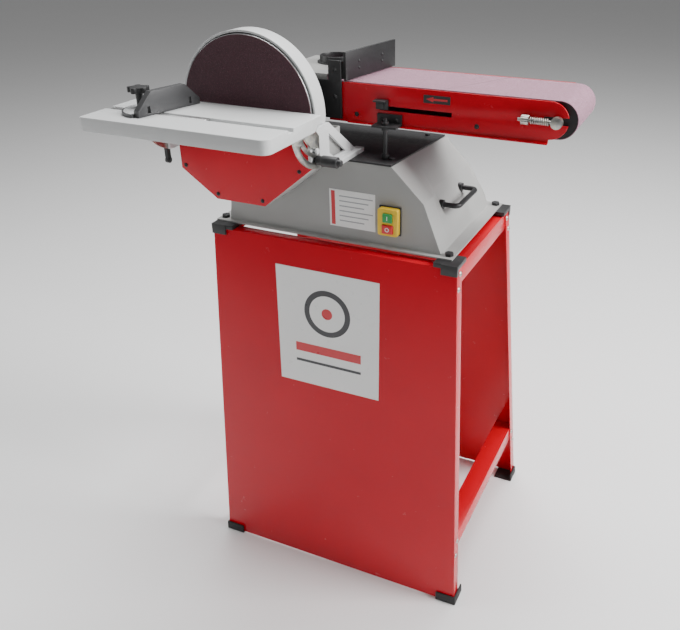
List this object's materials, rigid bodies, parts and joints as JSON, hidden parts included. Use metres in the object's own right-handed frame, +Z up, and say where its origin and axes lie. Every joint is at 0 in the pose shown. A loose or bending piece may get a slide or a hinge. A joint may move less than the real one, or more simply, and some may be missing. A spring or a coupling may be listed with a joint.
{
  "type": "belt disc sander",
  "caption": "Stand-mounted woodworking sander with a vertical abrasive disc, tilting table and mitre gauge, and a tilting belt arm with a fence.",
  "frame": {"origin": "middle of the overall box, on the floor", "axes": "+Z up, +X along the belt arm away from the disc, -Y towards the disc table"},
  "size_m": [0.7566, 0.7312, 1.217],
  "materials": {
    "red_paint": "glossy paint",
    "zinc_steel": "zinc plated",
    "black_plastic": "satin",
    "black_steel": "powder coat",
    "grey_paint": "glossy paint",
    "cast_grey": "painted casting",
    "dark_cast": "painted casting",
    "bright_steel": "machined",
    "machined_aluminium": "machined",
    "disc_abrasive": "grit",
    "belt_abrasive": "grit",
    "rubber": "matte",
    "yellow_plastic": "satin",
    "green_plastic": "satin",
    "red_plastic": "satin",
    "label": "gloss"
  },
  "bodies": {
    "frame": {"stand_front_panel": "red_paint", "stand_rear_panel": "red_paint", "stand_side_rails": "red_paint", "stand_screws": "zinc_steel", "corner_pads": "black_plastic", "housing": "grey_paint", "base_plate": "bright_steel", "top_plate": "black_steel", "housing_bolts": "black_steel", "carry_handle": "black_steel", "motor": "dark_cast", "drive_belt": "rubber", "belt_guard": "black_steel", "front_bearing_block": "dark_cast", "rear_bearing_block": "dark_cast", "spindle_bearings": "bright_steel", "disc_guard": "cast_grey", "disc_shroud": "grey_paint", "lower_cover": "red_paint", "cover_screws": "black_steel", "table_bracket_right": "cast_grey", "table_bracket_left": "cast_grey", "switch_back": "black_plastic", "switch_body": "yellow_plastic", "labels": "label", "feet": "rubber"},
    "spindle": {"spindle_shaft": "bright_steel", "spindle_pulley": "machined_aluminium", "disc_plate": "machined_aluminium", "abrasive_disc": "disc_abrasive", "drive_roller": "machined_aluminium"},
    "motor_rotor": {"motor_shaft": "zinc_steel", "motor_pulley": "machined_aluminium"},
    "belt_arm": {"arm_front_plate": "red_paint", "arm_rear_plate": "red_paint", "arm_ties": "bright_steel", "arm_pivot_plate": "black_steel", "fence": "black_steel", "arm_screws": "black_steel", "stop_bracket": "black_steel", "stop_bolt": "black_steel", "dust_hood": "grey_paint", "dust_port": "black_plastic", "sanding_belt": "belt_abrasive", "arrow_plate": "label"},
    "idler_carriage": {"idler_axle": "zinc_steel", "tracking_spring": "zinc_steel"},
    "tracking_knob": {"tracking_knob": "zinc_steel"},
    "idler": {"idler_roller": "black_steel"},
    "tension_lever": {"tension_lever": "black_plastic"},
    "table": {"disc_table": "cast_grey", "table_trunnions": "zinc_steel"},
    "clamp_right": {"clamp_lever_right": "black_plastic"},
    "clamp_left": {"clamp_lever_left": "black_plastic"},
    "gauge_bar": {"mitre_bar": "bright_steel"},
    "gauge_head": {"mitre_head": "black_steel"},
    "gauge_knob": {"mitre_knob": "black_plastic"},
    "start_button": {"start_button": "green_plastic"},
    "stop_button": {"stop_button": "red_plastic"},
    "lock_lever": {"lock_lever": "black_steel"}
  },
  "joints": [
    {"name": "spindle_spin", "type": "hinge", "parent": "frame", "child": "spindle", "pos_m": [-0.16583, -0.19013, 1.083], "axis": [0, -1, 0], "continuous": true},
    {"name": "motor_spin", "type": "hinge", "parent": "frame", "child": "motor_rotor", "pos_m": [-0.09583, -0.19013, 0.905], "axis": [0, -1, 0], "continuous": true},
    {"name": "arm_tilt", "type": "hinge", "parent": "frame", "child": "belt_arm", "pos_m": [-0.16583, -0.19013, 1.083], "axis": [0, -1, 0], "range_deg": [0, 90]},
    {"name": "tension_lever_slide", "type": "slide", "parent": "belt_arm", "child": "tension_lever", "axis": [1, 0, 0], "range_m": [0, 0.1]},
    {"name": "idler_slide", "type": "slide", "parent": "belt_arm", "child": "idler_carriage", "axis": [1, 0, 0], "range_m": [-0.008, 0]},
    {"name": "tracking_turn", "type": "hinge", "parent": "idler_carriage", "child": "tracking_knob", "pos_m": [0.29583, -0.05113, 1.083], "axis": [1, 0, 0], "range_deg": [-180, 180]},
    {"name": "idler_spin", "type": "hinge", "parent": "idler_carriage", "child": "idler", "pos_m": [0.34583, -0.19013, 1.083], "axis": [0, -1, 0], "continuous": true},
    {"name": "table_tilt", "type": "hinge", "parent": "frame", "child": "table", "pos_m": [-0.16583, -0.19283, 1.092], "axis": [1, 0, 0], "range_deg": [0, 45]},
    {"name": "clamp_right_turn", "type": "hinge", "parent": "frame", "child": "clamp_right", "pos_m": [-0.00583, -0.20586, 1.01814], "axis": [1, 0, 0], "range_deg": [0, 70]},
    {"name": "clamp_left_turn", "type": "hinge", "parent": "frame", "child": "clamp_left", "pos_m": [-0.33583, -0.20586, 1.01814], "axis": [1, 0, 0], "range_deg": [0, 70]},
    {"name": "gauge_slide", "type": "slide", "parent": "table", "child": "gauge_bar", "axis": [1, 0, 0], "range_m": [0, 0.14]},
    {"name": "gauge_swivel", "type": "hinge", "parent": "gauge_bar", "child": "gauge_head", "pos_m": [-0.28983, -0.29213, 1.092], "axis": [0, 0, 1], "range_deg": [-48, 72]},
    {"name": "gauge_knob_turn", "type": "hinge", "parent": "gauge_head", "child": "gauge_knob", "pos_m": [-0.31485, -0.28477, 1.102], "axis": [0, 0, 1], "continuous": true},
    {"name": "start_press", "type": "slide", "parent": "frame", "child": "start_button", "axis": [0, 1, 0], "range_m": [0, 0.003], "stiffness_N_per_m": 400},
    {"name": "stop_press", "type": "slide", "parent": "frame", "child": "stop_button", "axis": [0, 1, 0], "range_m": [0, 0.003], "stiffness_N_per_m": 400},
    {"name": "lock_lever_turn", "type": "hinge", "parent": "frame", "child": "lock_lever", "pos_m": [-0.10383, -0.10013, 1.112], "axis": [0, 1, 0], "range_deg": [-40, 40]}
  ],
  "couplings": [
    {"joint": "motor_spin", "follows": "spindle_spin", "ratio": 1.12},
    {"joint": "idler_spin", "follows": "spindle_spin", "ratio": 1},
    {"joint": "idler_slide", "follows": "tension_lever_slide", "ratio": -0.08}
  ]
}
